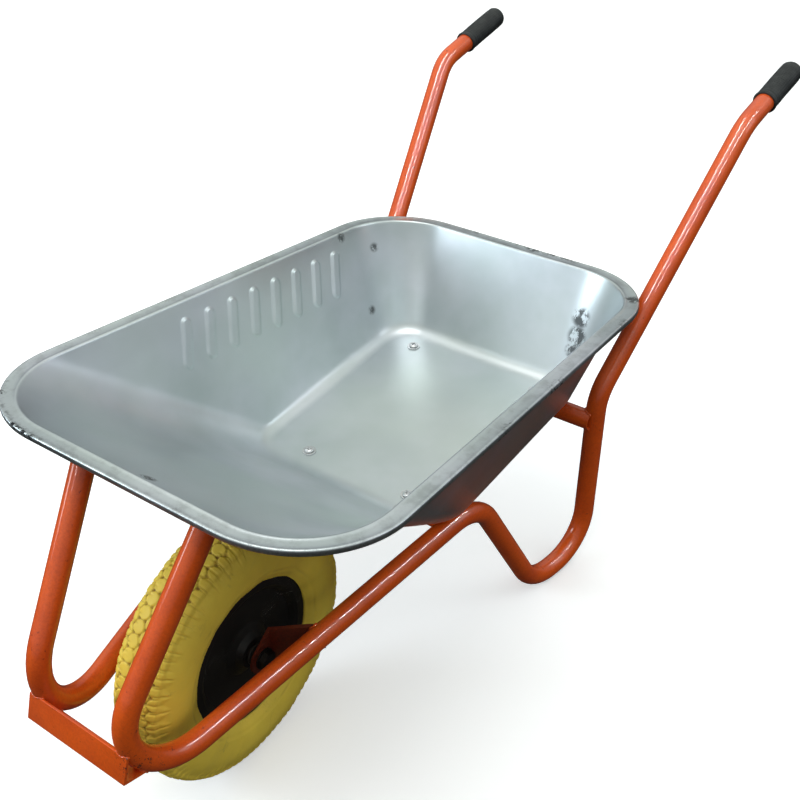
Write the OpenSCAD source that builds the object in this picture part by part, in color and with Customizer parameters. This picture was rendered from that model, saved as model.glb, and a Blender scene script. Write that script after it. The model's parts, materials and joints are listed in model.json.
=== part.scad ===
// Builder's wheelbarrow: pressed steel tray on a pair of bent frame tubes,
// with one foam-tyred wheel, two ground legs and two rubber grips.
// +Z is up, the wheel is toward -Y, the handles are toward +Y, and the
// origin is on the ground below the middle of the object.

/* [Overall] */
// Length from the nose bar to the ends of the grips
overall_len = 1458; // [1430:1:1640]

/* [Frame tubes] */
// Outer diameter of the frame tubes
tube_d = 32; // [27:0.5:38]
// Wall thickness of the frame tubes
tube_wall = 2; // [1.5:0.1:2.5]
// Distance of each tube from the middle plane at mid-length
half_gap = 195; // [185:1:215]
// Angle by which each tube plane splays outward toward the handles
splay = 9.6; // [8:0.1:11]
// Height of the centre of the nose bend
nose_height = 316; // [300:1:330]
// Slope of the long straight past the wheel
straight_slope = 6; // [4:0.5:8]
// Slope of the front upright
upright_slope = 53; // [51:0.5:55]
// Place along the tube plane of the bend under the front of the tray
hump_s = -90; // [-110:1:-70]
// Place along the tube plane of the front bend of the foot
foot_front_s = 46; // [30:1:48]
// Place along the tube plane of the rear bend of the foot
foot_rear_s = 178; // [176:1:190]
// Height of the bend between the leg and the handle
knee_height = 321; // [310:1:335]
// Height of the bend at the start of the grip
wrist_height = 667; // [600:1:720]
// Rise of the grip toward its end, in degrees
grip_slope = 8; // [4:0.5:14]
// Half of the distance between the two grip ends
grip_half_gap = 288; // [270:1:310]
// Centre-line radius of the nose bend
nose_bend_r = 90; // [80:1:95]
// Centre-line radius of the bends at the hump, foot and knee
leg_bend_r = 78; // [60:1:80]
// Centre-line radius of the bend before the grip
wrist_bend_r = 75; // [60:1:130]

/* [Grips] */
// Length of a grip
grip_len = 118; // [100:1:130]
// Rubber thickness around the tube
grip_rubber = 3; // [2.5:0.1:5]

/* [Wheel] */
// Diameter of the tyre
wheel_d = 400; // [360:1:410]
// Width of the tyre
tyre_w = 98; // [80:1:100]
// Diameter of the rim flanges
rim_d = 228; // [190:1:240]
// Diameter of the axle
axle_d = 16; // [12:0.5:20]
// Radial running clearance between axle and bushes
run_gap = 0.05; // [0.03:0.01:0.09]
// Distance of the axle behind the centre of the nose bend
axle_back = 167; // [160:1:180]

/* [Tray] */
// Length of the tray across its rim
tray_len = 908; // [860:1:930]
// Width of the tray across the front of its rim
tray_front_w = 620; // [560:1:660]
// Width of the tray across the rear of its rim
tray_rear_w = 538; // [510:1:580]
// Place of the front of the rim
tray_front_y = -586; // [-600:1:-575]
// Height of the rim above the tray floor at mid-length
tray_depth = 222; // [205:1:260]
// Fall of the rim toward the rear, in degrees
rim_fall = 8; // [5:0.5:10]
// Width of the rim flange
flange_w = 24; // [18:1:30]
// Height of the turned-down edge of the rim
lip_h = 9; // [6:0.5:14]
// Thickness of the tray floor
sheet = 1.5; // [1:0.1:2]
// Length of the flat tray floor
floor_len = 406; // [380:1:420]
// Width of the flat tray floor
floor_w = 366; // [340:1:376]

/* [Fasteners] */
// Thread diameter of the tray bolts
bolt_d = 8; // [6:1:8]
// Play of a bolt in its hole, on the radius
bolt_play = 0.3; // [0.1:0.1:0.6]

/* [Hidden] */
$fn = 64;

tube_r = tube_d / 2;
wheel_r = wheel_d / 2;
big = 400;                       // larger than any piece that it trims
seam_w = 0.4;                    // length of the ring at a bend's seam
seam_h = 0.02;                   // its height over the tube

// ---- vectors and places ----

function unit(v) = v / norm(v);
function in_plane(s, z) = [half_gap + s * sin(splay), s * cos(splay), z];
function lerp(a, b, t) = a * (1 - t) + b * t;

// Rigid move that takes +Z to direction w and +X near direction h, from p
function frame_at(p, w, h) =
    let (zc = unit(w), yc = unit(cross(zc, h)), xc = cross(yc, zc))
    [[xc.x, yc.x, zc.x, p.x], [xc.y, yc.y, zc.y, p.y],
     [xc.z, yc.z, zc.z, p.z], [0, 0, 0, 1]];

// ---- path of one frame tube ----

bar_leg = 40;                    // leg of the nose angle bar
bar_t = 4;                       // thickness of the nose angle bar
bar_tilt = 20;                   // the bar leans back at its top
bar_reach = 128;                 // bend centre to the corner of the bar
nose_y = -overall_len / 2 + bar_reach * cos(45 - bar_tilt);
nose_s = nose_y / cos(splay);
nose_half = (upright_slope - straight_slope) / 2;
nose_mid = (upright_slope + straight_slope) / 2;
corner_dist = nose_bend_r / sin(nose_half);
corner_s = nose_s - corner_dist * cos(nose_mid);
corner_z = nose_height - corner_dist * sin(nose_mid);
hump_z = corner_z + (hump_s - corner_s) * tan(straight_slope);
upright_len = 620;
knee_s = foot_rear_s + 19;
grip_tip_r = tube_r + grip_rubber - 4;
grip_wall = 4;                   // rubber behind the end of the tube
grip_end_y = overall_len / 2 - grip_tip_r * sin(grip_slope) - 1;
wrist_s = knee_s + wrist_height - knee_height;
wrist_p = in_plane(wrist_s, wrist_height);
grip_run = (grip_end_y - wrist_p.y) / cos(grip_slope);
grip_end = [grip_half_gap, grip_end_y, wrist_p.z + grip_run * sin(grip_slope)];
grip_axis = unit(grip_end - wrist_p);
tube_end = grip_end - grip_axis * grip_wall;

path = [
    in_plane(corner_s + upright_len * cos(upright_slope),
             corner_z + upright_len * sin(upright_slope)),
    in_plane(corner_s, corner_z),
    in_plane(hump_s, hump_z),
    in_plane(foot_front_s, tube_r),
    in_plane(foot_rear_s, tube_r),
    in_plane(knee_s, knee_height),
    wrist_p,
    tube_end
];
bend_r = [0, nose_bend_r, leg_bend_r, leg_bend_r, leg_bend_r, leg_bend_r, wrist_bend_r, 0];
last = len(path) - 1;

function run_dir(i) = unit(path[i + 1] - path[i]);
function bend_turn(i) = acos(run_dir(i - 1) * run_dir(i));
function trim(i) = (i == 0 || i == last) ? 0 : bend_r[i] * tan(bend_turn(i) / 2);

// ---- floor of the tray, which lies on the two cross tubes ----

hump_rise = leg_bend_r * (1 - cos(straight_slope))
    - trim(2) * sin(straight_slope);
floor_z = hump_z + hump_rise + tube_r + 0.5;
cross_z = floor_z - tube_r;
cross_front_y = -145;
cross_rear_y = 182;
bolt_front_x = 94;
bolt_rear_x = 121;
bolt_places = [
    [bolt_front_x, cross_front_y], [-bolt_front_x, cross_front_y],
    [bolt_rear_x, cross_rear_y], [-bolt_rear_x, cross_rear_y]
];

// ---- outlines of the tray ----

wall_run = 1;                    // sheet measured level through a sloped wall
lip_t = 2;                       // thickness of the turned-down edge
front_corner_r = 148;
rear_corner_r = 137;
floor_corner_r = 62;
floor_front_y = tray_front_y + 401;
fillet = 0.07;                   // share of the wall taken by the floor fillet
arc_steps = 8;
rim_mid_z = floor_z + tray_depth;

function rim_z(y) = rim_mid_z - y * tan(rim_fall);
function trapezoid(y0, y1, w0, w1) =
    [[w0, y0], [w1, y1], [-w1, y1], [-w0, y0]];

rim_box = trapezoid(tray_front_y, tray_front_y + tray_len,
                    tray_front_w / 2, tray_rear_w / 2);
floor_box = trapezoid(floor_front_y, floor_front_y + floor_len,
                      floor_w / 2, floor_w / 2);
rim_radii = [front_corner_r, rear_corner_r, rear_corner_r, front_corner_r];
floor_radii = [floor_corner_r, floor_corner_r, floor_corner_r, floor_corner_r];

// Rounded outline of a four-cornered box, grown by off
function rounded(box, radii, off) = [
    for (i = [0 : 3])
        let (v = box[i], a = unit(box[(i + 3) % 4] - v), b = unit(box[(i + 1) % 4] - v),
             half = acos(a * b) / 2, c = v + unit(a + b) * radii[i] / sin(half),
             t = v + a * radii[i] / tan(half) - c, from = atan2(t.y, t.x),
             sweep = 180 - 2 * half)
        for (k = [0 : arc_steps])
            let (w = from + sweep * k / arc_steps)
            c + (radii[i] + off) * [cos(w), sin(w)]
];

// One ring of the tray: u blends the outline from floor to opening, v the height
function ring(u, v, off, dz) =
    let (f = rounded(floor_box, floor_radii, off),
         t = rounded(rim_box, rim_radii, off - flange_w))
    [for (k = [0 : len(f) - 1])
        let (p = lerp(f[k], t[k], u))
        [p.x, p.y, lerp(floor_z, rim_z(t[k].y), v) + dz]];

function fillet_ring(t, off, dz) = ring(fillet * (2 * t - 1), fillet * t * t, off, dz);

tray_rings = [
    fillet_ring(0, 0, 0),
    fillet_ring(1 / 3, 0, 0),
    fillet_ring(2 / 3, 0, 0),
    fillet_ring(1, 0, 0),
    ring(1, 1, 0, -sheet),
    ring(1, 1, flange_w - lip_t, -sheet),
    ring(1, 1, flange_w - lip_t, -lip_h),
    ring(1, 1, flange_w, -lip_h),
    ring(1, 1, flange_w, -lip_t),
    ring(1, 1, flange_w - lip_t, 0),
    ring(1, 1, -wall_run, 0),
    fillet_ring(1, -wall_run, sheet),
    fillet_ring(2 / 3, -wall_run, sheet),
    fillet_ring(1 / 3, -wall_run, sheet),
    fillet_ring(0, -wall_run, sheet)
];

// ---- underside of the front wall, where the uprights meet the tray ----

opening_front_y = tray_front_y + flange_w;
wall_top = [opening_front_y, rim_z(opening_front_y) - sheet];
wall_foot = [lerp(floor_front_y, opening_front_y, fillet),
             lerp(floor_z, rim_z(opening_front_y), fillet)];
wall_dir = unit(wall_top - wall_foot);
wall_angle = atan2(wall_dir.y, -wall_dir.x);
pad_t = 4;
pad_w = 64;
pad_len = 46;
// Share of the wall, from its foot, at which the upright's axis crosses it
upright_dir = [cos(upright_slope) * cos(splay), sin(upright_slope)];
upright_from = [corner_s * cos(splay), corner_z];
wall_span = wall_top - wall_foot;
hit_det = upright_dir.x * wall_span.y - upright_dir.y * wall_span.x;
hit_gap = wall_foot - upright_from;
hit = (hit_gap.x * upright_dir.y - hit_gap.y * upright_dir.x) / hit_det;
pad_at = wall_foot + wall_span * hit;
pad_x = half_gap + pad_at.x * tan(splay);

// ---- wheel and axle ----

axle_y = nose_y + axle_back;
axle_z = wheel_r;
casing_t = 11;                   // wall of the tyre's casing
rim_half_w = 36;
rim_wall = 2.5;
barrel_r = rim_d / 2 - 14;
hub_r = 15;
hub_bore_r = 11.5;
hub_half = 43;
bush_len = 20;
bush_flange_r = 17;
bush_flange_t = 2;
bush_end = hub_half + bush_flange_t;
side_gap = 0.5;                  // end float of the wheel between the spacers
bracket_in = bush_end + side_gap + 8;
bracket_t = 4;
bracket_out = bracket_in + bracket_t;
axle_play = 0.25;
washer_t = 2;
head_t = 9;
head_af = 24;
nut_t = 12;
thread_end = bracket_out + washer_t + nut_t + 4;

// ---- tray fasteners ----

washer_r = 11;
nut_af = 13;
nut_h = 6.5;
bolt_end = floor_z - tube_d - washer_t - nut_h - 4;

// ======================= solids =======================

// Straight round piece from a to b, with a bore when bore is over zero
module bar(a, b, r, bore) {
    multmatrix(frame_at(a, b - a, [1, 0, 0]))
        linear_extrude(height = norm(b - a))
            ring_section(r, bore);
}

module ring_section(r, bore) {
    difference() {
        circle(r = r);
        if (bore > 0)
            circle(r = bore);
    }
}

// One bend of the frame tube, at corner i
module bend(i, r, bore) {
    u = run_dir(i - 1);
    n = unit(run_dir(i) - u * (run_dir(i) * u));
    centre = path[i] - u * trim(i) + n * bend_r[i];
    multmatrix(frame_at(centre, cross(-n, u), -n))
        rotate_extrude(angle = bend_turn(i))
            translate([bend_r[i], 0])
                ring_section(r, bore);
}

// Hair-high ring that bridges the seam between a straight and a bend
module seam(p, u, r, bore) {
    multmatrix(frame_at(p - u * seam_w / 2, u, [1, 0, 0]))
        linear_extrude(height = seam_w)
            ring_section(r + seam_h, bore - seam_h);
}

module tube_path(r, bore = 0) {
    for (i = [0 : last - 1])
        bar(path[i] + run_dir(i) * trim(i), path[i + 1] - run_dir(i) * trim(i + 1), r, bore);
    for (i = [1 : last - 1])
        bend(i, r, bore);
    if (bore > 0)
        for (i = [1 : last - 1]) {
            seam(path[i] - run_dir(i - 1) * trim(i), run_dir(i - 1), r, bore);
            seam(path[i] + run_dir(i) * trim(i), run_dir(i), r, bore);
        }
}

// Everything above the underside of an upright pad
module above_pad() {
    translate([0, pad_at.x, pad_at.y])
        rotate([-wall_angle, 0, 0])
            translate([-big, -big / 2, -pad_t])
                cube([2 * big, big, big]);
}

module frame_tube() {
    color("orangered")
        difference() {
            tube_path(tube_r, tube_r - tube_wall);
            above_pad();
        }
}

module both_tubes_solid() {
    tube_path(tube_r);
    mirror([1, 0, 0])
        tube_path(tube_r);
}

// Both legs below the knees, drawn straight
module both_legs_solid() {
    leg = 4;
    for (side = [0, 1])
        mirror([side, 0, 0])
            bar(path[leg], path[leg + 1], tube_r, 0);
}

// Cross tube under the tray floor, coped to the solids that it is given
module cross_tube(y) {
    reach = half_gap + y * tan(splay);
    color("orangered")
        difference() {
            translate([-reach, y, cross_z])
                rotate([0, 90, 0])
                    difference() {
                        cylinder(r = tube_r, h = 2 * reach);
                        translate([0, 0, -1])
                            cylinder(r = tube_r - tube_wall, h = 2 * reach + 2);
                    }
            children();
            for (p = bolt_places)
                if (p.y == y)
                    translate([p.x, p.y, cross_z - tube_d])
                        cylinder(r = bolt_d / 2 + bolt_play, h = 2 * tube_d);
        }
}

// Angle bar across the nose, leaning back, coped to the bends
module nose_bar() {
    half = half_gap + nose_s * sin(splay) - 4;
    color("orangered")
        difference() {
            translate([0, -overall_len / 2, nose_height - bar_reach * sin(45 - bar_tilt)])
                rotate([-bar_tilt, 0, 0])
                    translate([-half, 0, 0])
                        difference() {
                            cube([2 * half, bar_leg, bar_leg]);
                            translate([-1, bar_t, bar_t])
                                cube([2 * half + 2, bar_leg, bar_leg]);
                        }
            both_tubes_solid();
        }
}

// Plate on top of an upright, flat against the front wall of the tray
module upright_pad() {
    color("orangered")
        translate([pad_x, pad_at.x, pad_at.y])
            rotate([-wall_angle, 0, 0])
                translate([-pad_w / 2, -pad_len / 2, -pad_t])
                    cube([pad_w, pad_len, pad_t]);
}

tongue_r = 24;
weld_r = 16;
weld_y = axle_y + 52;
weld_z = corner_z + (weld_y / cos(splay) - corner_s) * tan(straight_slope) - 4;
weld_x = half_gap + weld_y * tan(splay);
plate_x = bracket_in + bracket_t / 2;
fold_y = axle_y + 18;

// Side outline of a bracket: a round tongue that widens to the tube
module bracket_side() {
    run = [weld_y - axle_y, weld_z - axle_z];
    lean = atan2(run.y, run.x);
    open = acos((tongue_r - weld_r) / norm(run));
    a = [axle_y, axle_z];
    b = [weld_y, weld_z];
    function on(p, r, w) = p + r * [cos(w), sin(w)];
    translate(a)
        circle(r = tongue_r);
    translate(b)
        circle(r = weld_r);
    polygon([on(a, tongue_r, lean + open), on(a, tongue_r, lean - open),
             on(b, weld_r, lean - open), on(b, weld_r, lean + open)]);
}

// Plan of a bracket: a strip that folds outward to the tube
module bracket_plan() {
    h = bracket_t / 2;
    fold = atan2(weld_x - plate_x, weld_y - fold_y);
    shift = h * tan(fold / 2);
    out = h * [cos(fold), -sin(fold)];
    polygon([
        [plate_x - h, axle_y - 2 * tongue_r],
        [plate_x + h, axle_y - 2 * tongue_r],
        [plate_x + h, fold_y - shift],
        [weld_x + out.x, weld_y + out.y],
        [weld_x - out.x, weld_y - out.y],
        [plate_x - h, fold_y + shift]
    ]);
}

module axle_bracket() {
    color("firebrick")
        difference() {
            intersection() {
                linear_extrude(height = big)
                    bracket_plan();
                rotate([90, 0, 90])
                    linear_extrude(height = big)
                        bracket_side();
            }
            tube_path(tube_r);
            translate([0, axle_y, axle_z])
                rotate([0, 90, 0])
                    cylinder(r = axle_d / 2 + axle_play, h = big);
        }
}

// Rubber sleeve over the end of a tube, with a rounded closed end
module grip() {
    outer = tube_r + grip_rubber;
    color([0.17, 0.18, 0.18])
        multmatrix(frame_at(grip_end, -grip_axis, [1, 0, 0]))
            rotate_extrude()
                polygon([
                    [0, 0], [outer - 4, 0], [outer - 1.2, 1.2], [outer, 4],
                    [outer, grip_len - 6], [outer + 0.8, grip_len - 5],
                    [outer + 0.8, grip_len - 1], [outer + 0.2, grip_len],
                    [tube_r, grip_len], [tube_r, grip_wall], [0, grip_wall]
                ]);
}

// Places a solid of revolution drawn around +Z on the axle's line
module on_axle() {
    translate([0, axle_y, axle_z])
        rotate([0, 90, 0])
            children();
}

// Casing of the tyre, open toward the rim, which closes the core space
module tyre() {
    w = tyre_w / 2;
    rim_r = rim_d / 2;
    bead_x = rim_half_w - rim_wall;
    color("gold")
        on_axle()
            rotate_extrude($fn = 96)
                difference() {
                    polygon([
                        [barrel_r, -bead_x], [barrel_r, bead_x], [rim_r, bead_x],
                        [rim_r, rim_half_w + 2], [rim_r + 12, w - 4], [rim_r + 30, w],
                        [wheel_r - 36, w - 1], [wheel_r - 16, w - 8],
                        [wheel_r - 5, w - 17], [wheel_r, w - 30],
                        [wheel_r, 30 - w], [wheel_r - 5, 17 - w],
                        [wheel_r - 16, 8 - w], [wheel_r - 36, 1 - w], [rim_r + 30, -w],
                        [rim_r + 12, 4 - w], [rim_r, -rim_half_w - 2], [rim_r, -bead_x]
                    ]);
                    polygon([
                        [barrel_r - 1, casing_t - bead_x], [barrel_r - 1, bead_x - casing_t],
                        [rim_r + 4, bead_x - casing_t], [rim_r + 30, w - casing_t],
                        [wheel_r - 36, w - casing_t], [wheel_r - 14, w - 22],
                        [wheel_r - 14, 22 - w], [wheel_r - 36, casing_t - w],
                        [rim_r + 30, casing_t - w], [rim_r + 4, casing_t - bead_x]
                    ]);
                }
}

// One pressed half of the rim, from the middle plane outward
module rim_half() {
    rim_r = rim_d / 2;
    color([0.07, 0.07, 0.06])
        on_axle()
            rotate_extrude($fn = 96)
                polygon([
                    [hub_r, 0], [barrel_r, 0], [barrel_r, rim_half_w - rim_wall],
                    [rim_r, rim_half_w - rim_wall], [rim_r, rim_half_w - 0.5],
                    [rim_r - 1, rim_half_w], [barrel_r, rim_half_w],
                    [barrel_r - 5, rim_half_w - 3], [barrel_r - 11, 27],
                    [hub_r + 26, 25], [hub_r + 14, 30], [hub_r + 8, 39],
                    [hub_r, 39], [hub_r, 27], [hub_r + 10, 21],
                    [barrel_r - 11, 21], [barrel_r - 5, 18],
                    [barrel_r - 5, 3], [hub_r, 3]
                ]);
}

module hub_tube() {
    color("dimgray")
        on_axle()
            difference() {
                cylinder(r = hub_r, h = 2 * hub_half, center = true);
                cylinder(r = hub_bore_r, h = 2 * hub_half + 2, center = true);
            }
}

module bush() {
    color("ivory")
        on_axle()
            difference() {
                union() {
                    translate([0, 0, hub_half - bush_len])
                        cylinder(r = hub_bore_r, h = bush_len);
                    translate([0, 0, hub_half])
                        cylinder(r = bush_flange_r, h = bush_flange_t);
                }
                cylinder(r = axle_d / 2 + run_gap, h = big);
            }
}

// Axle bolt: shaft with its hexagon head outside the right bracket
module axle_bolt() {
    color("silver")
        on_axle() {
            translate([0, 0, -thread_end])
                cylinder(r = axle_d / 2, h = thread_end + bracket_out + washer_t);
            translate([0, 0, bracket_out + washer_t])
                cylinder(d = head_af / cos(30), h = head_t, $fn = 6);
        }
}

module axle_spacer() {
    color("silver")
        on_axle()
            translate([0, 0, bush_end + side_gap])
                difference() {
                    cylinder(r = axle_d / 2 + 5, h = bracket_in - bush_end - side_gap);
                    translate([0, 0, -1])
                        cylinder(r = axle_d / 2 + axle_play, h = big);
                }
}

module axle_washers() {
    color("silver")
        on_axle()
            for (side = [bracket_out, -bracket_out - washer_t])
                translate([0, 0, side])
                    difference() {
                        cylinder(r = axle_d / 2 + 8, h = washer_t);
                        translate([0, 0, -1])
                            cylinder(r = axle_d / 2 + axle_play, h = washer_t + 2);
                    }
}

module axle_nut() {
    color("silver")
        on_axle()
            translate([0, 0, -bracket_out - washer_t - nut_t])
                difference() {
                    cylinder(d = head_af / cos(30), h = nut_t, $fn = 6);
                    translate([0, 0, -1])
                        cylinder(r = axle_d / 2, h = nut_t + 2);
                }
}

module tray() {
    n = len(tray_rings[0]);
    m = len(tray_rings);
    points = [for (r = tray_rings) each r];
    bottom = [[for (k = [0 : n - 1]) k]];
    top = [[for (k = [n - 1 : -1 : 0]) (m - 1) * n + k]];
    sides = [
        for (j = [0 : m - 2])
            for (k = [0 : n - 1])
                let (a = j * n + k, b = j * n + (k + 1) % n)
                each [[a, a + n, b + n], [a, b + n, b]]
    ];
    color("lightgray")
        difference() {
            polyhedron(points = points, faces = concat(bottom, top, sides), convexity = 6);
            for (p = bolt_places)
                translate([p.x, p.y, floor_z - 1])
                    cylinder(r = bolt_d / 2 + bolt_play, h = sheet + 2);
        }
}

// Pan-head bolts, one at each place where the floor is held down
module tray_bolts() {
    color("silver")
        for (p = bolt_places)
            translate([p.x, p.y, 0]) {
                translate([0, 0, bolt_end])
                    cylinder(r = bolt_d / 2, h = floor_z + sheet + washer_t - bolt_end);
                translate([0, 0, floor_z + sheet + washer_t])
                    cylinder(r1 = bolt_d, r2 = bolt_d - 2.5, h = 4.5);
            }
}

module washer_set(z) {
    color("silver")
        for (p = bolt_places)
            translate([p.x, p.y, z])
                difference() {
                    cylinder(r = washer_r, h = washer_t);
                    translate([0, 0, -1])
                        cylinder(r = bolt_d / 2 + bolt_play, h = washer_t + 2);
                }
}

module tray_nuts() {
    color("silver")
        for (p = bolt_places)
            translate([p.x, p.y, floor_z - tube_d - washer_t - nut_h])
                difference() {
                    cylinder(d = nut_af / cos(30), h = nut_h, $fn = 6);
                    translate([0, 0, -1])
                        cylinder(r = bolt_d / 2, h = nut_h + 2);
                }
}

module left() {
    mirror([1, 0, 0])
        children();
}

tray();
frame_tube();  // frame_tube_right
left() frame_tube();  // frame_tube_left
cross_tube(cross_front_y) both_tubes_solid();  // cross_tube_front
cross_tube(cross_rear_y) both_legs_solid();  // cross_tube_rear
nose_bar();
upright_pad();  // upright_pad_right
left() upright_pad();  // upright_pad_left
axle_bracket();  // axle_bracket_right
left() axle_bracket();  // axle_bracket_left
grip();  // grip_right
left() grip();  // grip_left
tyre();
rim_half();  // rim_half_right
left() rim_half();  // rim_half_left
hub_tube();
bush();  // bush_right
left() bush();  // bush_left
axle_bolt();
axle_spacer();  // axle_spacer_right
left() axle_spacer();  // axle_spacer_left
axle_washers();
axle_nut();
tray_bolts();
washer_set(floor_z + sheet);  // tray_head_washers
washer_set(floor_z - tube_d - washer_t);  // tray_foot_washers
tray_nuts();
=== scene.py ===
"""Looks of the builder's wheelbarrow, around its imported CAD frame. Lengths are in metres."""

import json
import math

import bpy
import numpy as np
from mathutils import Matrix, Vector
from mathutils.bvhtree import BVHTree

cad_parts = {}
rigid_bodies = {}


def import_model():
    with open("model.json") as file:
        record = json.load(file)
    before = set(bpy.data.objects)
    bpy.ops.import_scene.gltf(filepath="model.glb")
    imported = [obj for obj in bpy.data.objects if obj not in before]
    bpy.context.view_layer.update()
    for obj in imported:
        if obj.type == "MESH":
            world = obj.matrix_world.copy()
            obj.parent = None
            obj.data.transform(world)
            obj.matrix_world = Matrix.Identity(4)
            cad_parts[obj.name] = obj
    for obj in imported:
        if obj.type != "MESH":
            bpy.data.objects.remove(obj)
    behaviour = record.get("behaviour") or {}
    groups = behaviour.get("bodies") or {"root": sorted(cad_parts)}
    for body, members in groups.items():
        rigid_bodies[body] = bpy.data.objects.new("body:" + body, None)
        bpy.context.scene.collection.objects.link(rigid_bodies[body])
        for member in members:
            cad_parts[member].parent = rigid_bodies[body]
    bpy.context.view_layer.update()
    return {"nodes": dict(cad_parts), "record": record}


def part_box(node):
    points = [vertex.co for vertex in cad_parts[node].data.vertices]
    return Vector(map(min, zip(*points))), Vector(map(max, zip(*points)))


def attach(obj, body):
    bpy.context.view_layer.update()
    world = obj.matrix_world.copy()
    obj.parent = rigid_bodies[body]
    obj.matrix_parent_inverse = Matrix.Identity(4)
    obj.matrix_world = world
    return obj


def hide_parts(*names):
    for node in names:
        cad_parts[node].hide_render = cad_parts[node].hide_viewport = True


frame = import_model()
nodes = frame["nodes"]
scene = bpy.context.scene


# ---------------------------------------------------------------- meshes

def unit(v):
    return v / np.maximum(np.linalg.norm(v, axis=-1, keepdims=True), 1e-12)


def smooth(lo, hi, x):
    """0 below lo, 1 above hi, and an S-curve between; hi may be the lower."""
    t = np.clip((x - lo) / (hi - lo), 0, 1)
    return t * t * (3 - 2 * t)


def wave(p, seed):
    """Smooth, repeatable noise in about -1..1 for an array of points."""
    rng = np.random.default_rng(seed)
    total = np.zeros(p.shape[:-1])
    for _ in range(6):
        k, phase = rng.normal(size=p.shape[-1]), rng.uniform(0, 2 * math.pi)
        total += np.sin(p @ k + phase)
    return total / 3


def grid_faces(rows, cols, around=True, lengthwise=False):
    """Quads of a grid of points, closed around its columns, or lengthwise over its rows."""
    r = np.arange(rows if lengthwise else rows - 1)
    c = np.arange(cols if around else cols - 1)
    r, c = (a.ravel() for a in np.meshgrid(r, c, indexing="ij"))
    r2, c2 = (r + 1) % rows, (c + 1) % cols
    return np.stack([r * cols + c, r * cols + c2, r2 * cols + c2, r2 * cols + c], 1)


def add_mesh(name, verts, faces, body, material, replaces=(), wear_and_groove_shade=None, sharp=None):
    """A new piece that rides on a body."""
    mesh = bpy.data.meshes.new(name)
    mesh.from_pydata(np.asarray(verts).tolist(), [], [list(map(int, f)) for f in faces])
    mesh.validate()
    if wear_and_groove_shade is not None:
        layer = mesh.attributes.new("wear_and_groove_shade", "FLOAT", "POINT")
        layer.data.foreach_set("value", np.asarray(wear_and_groove_shade, np.float32))
    mesh.shade_smooth()
    if sharp is not None:
        mesh.set_sharp_from_angle(angle=math.radians(sharp))
    mesh.update()
    piece = bpy.data.objects.new(name, mesh)
    scene.collection.objects.link(piece)
    mesh.materials.append(material)
    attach(piece, body)
    if replaces:
        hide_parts(*replaces)
    return piece


def swept(path, radii, sides=10):
    """Points and faces of a closed round bead along a path."""
    path, radii = np.asarray(path, float), np.broadcast_to(radii, len(path))
    along = unit(np.gradient(path, axis=0))
    side = unit(np.cross(along, [0.31, 0.22, 0.92]))
    up = np.cross(side, along)
    w = np.arange(sides) * 2 * math.pi / sides
    ring = side[:, None] * np.cos(w)[:, None] + up[:, None] * np.sin(w)[:, None]
    verts = (path[:, None] + ring * radii[:, None, None]).reshape(-1, 3)
    faces = grid_faces(len(path), sides).tolist()
    last = (len(path) - 1) * sides
    faces += [list(range(sides))[::-1], [last + k for k in range(sides)]]
    return verts, faces


def joined(parts):
    """Several (points, faces) as one."""
    verts, faces, start = [], [], 0
    for v, f in parts:
        verts.append(np.asarray(v, float))
        faces += [[int(i) + start for i in face] for face in f]
        start += len(v)
    return np.concatenate(verts), faces


def turned(profile, columns):
    """A closed profile of (radius, along) turned about +Z."""
    profile = np.asarray(profile, float)
    w = np.arange(columns) * 2 * math.pi / columns
    r, z = profile[:, 0][:, None], profile[:, 1][:, None]
    verts = np.stack([r * np.cos(w), r * np.sin(w), z + 0 * w], -1)
    return verts


# ---------------------------------------------------------------- materials

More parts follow.
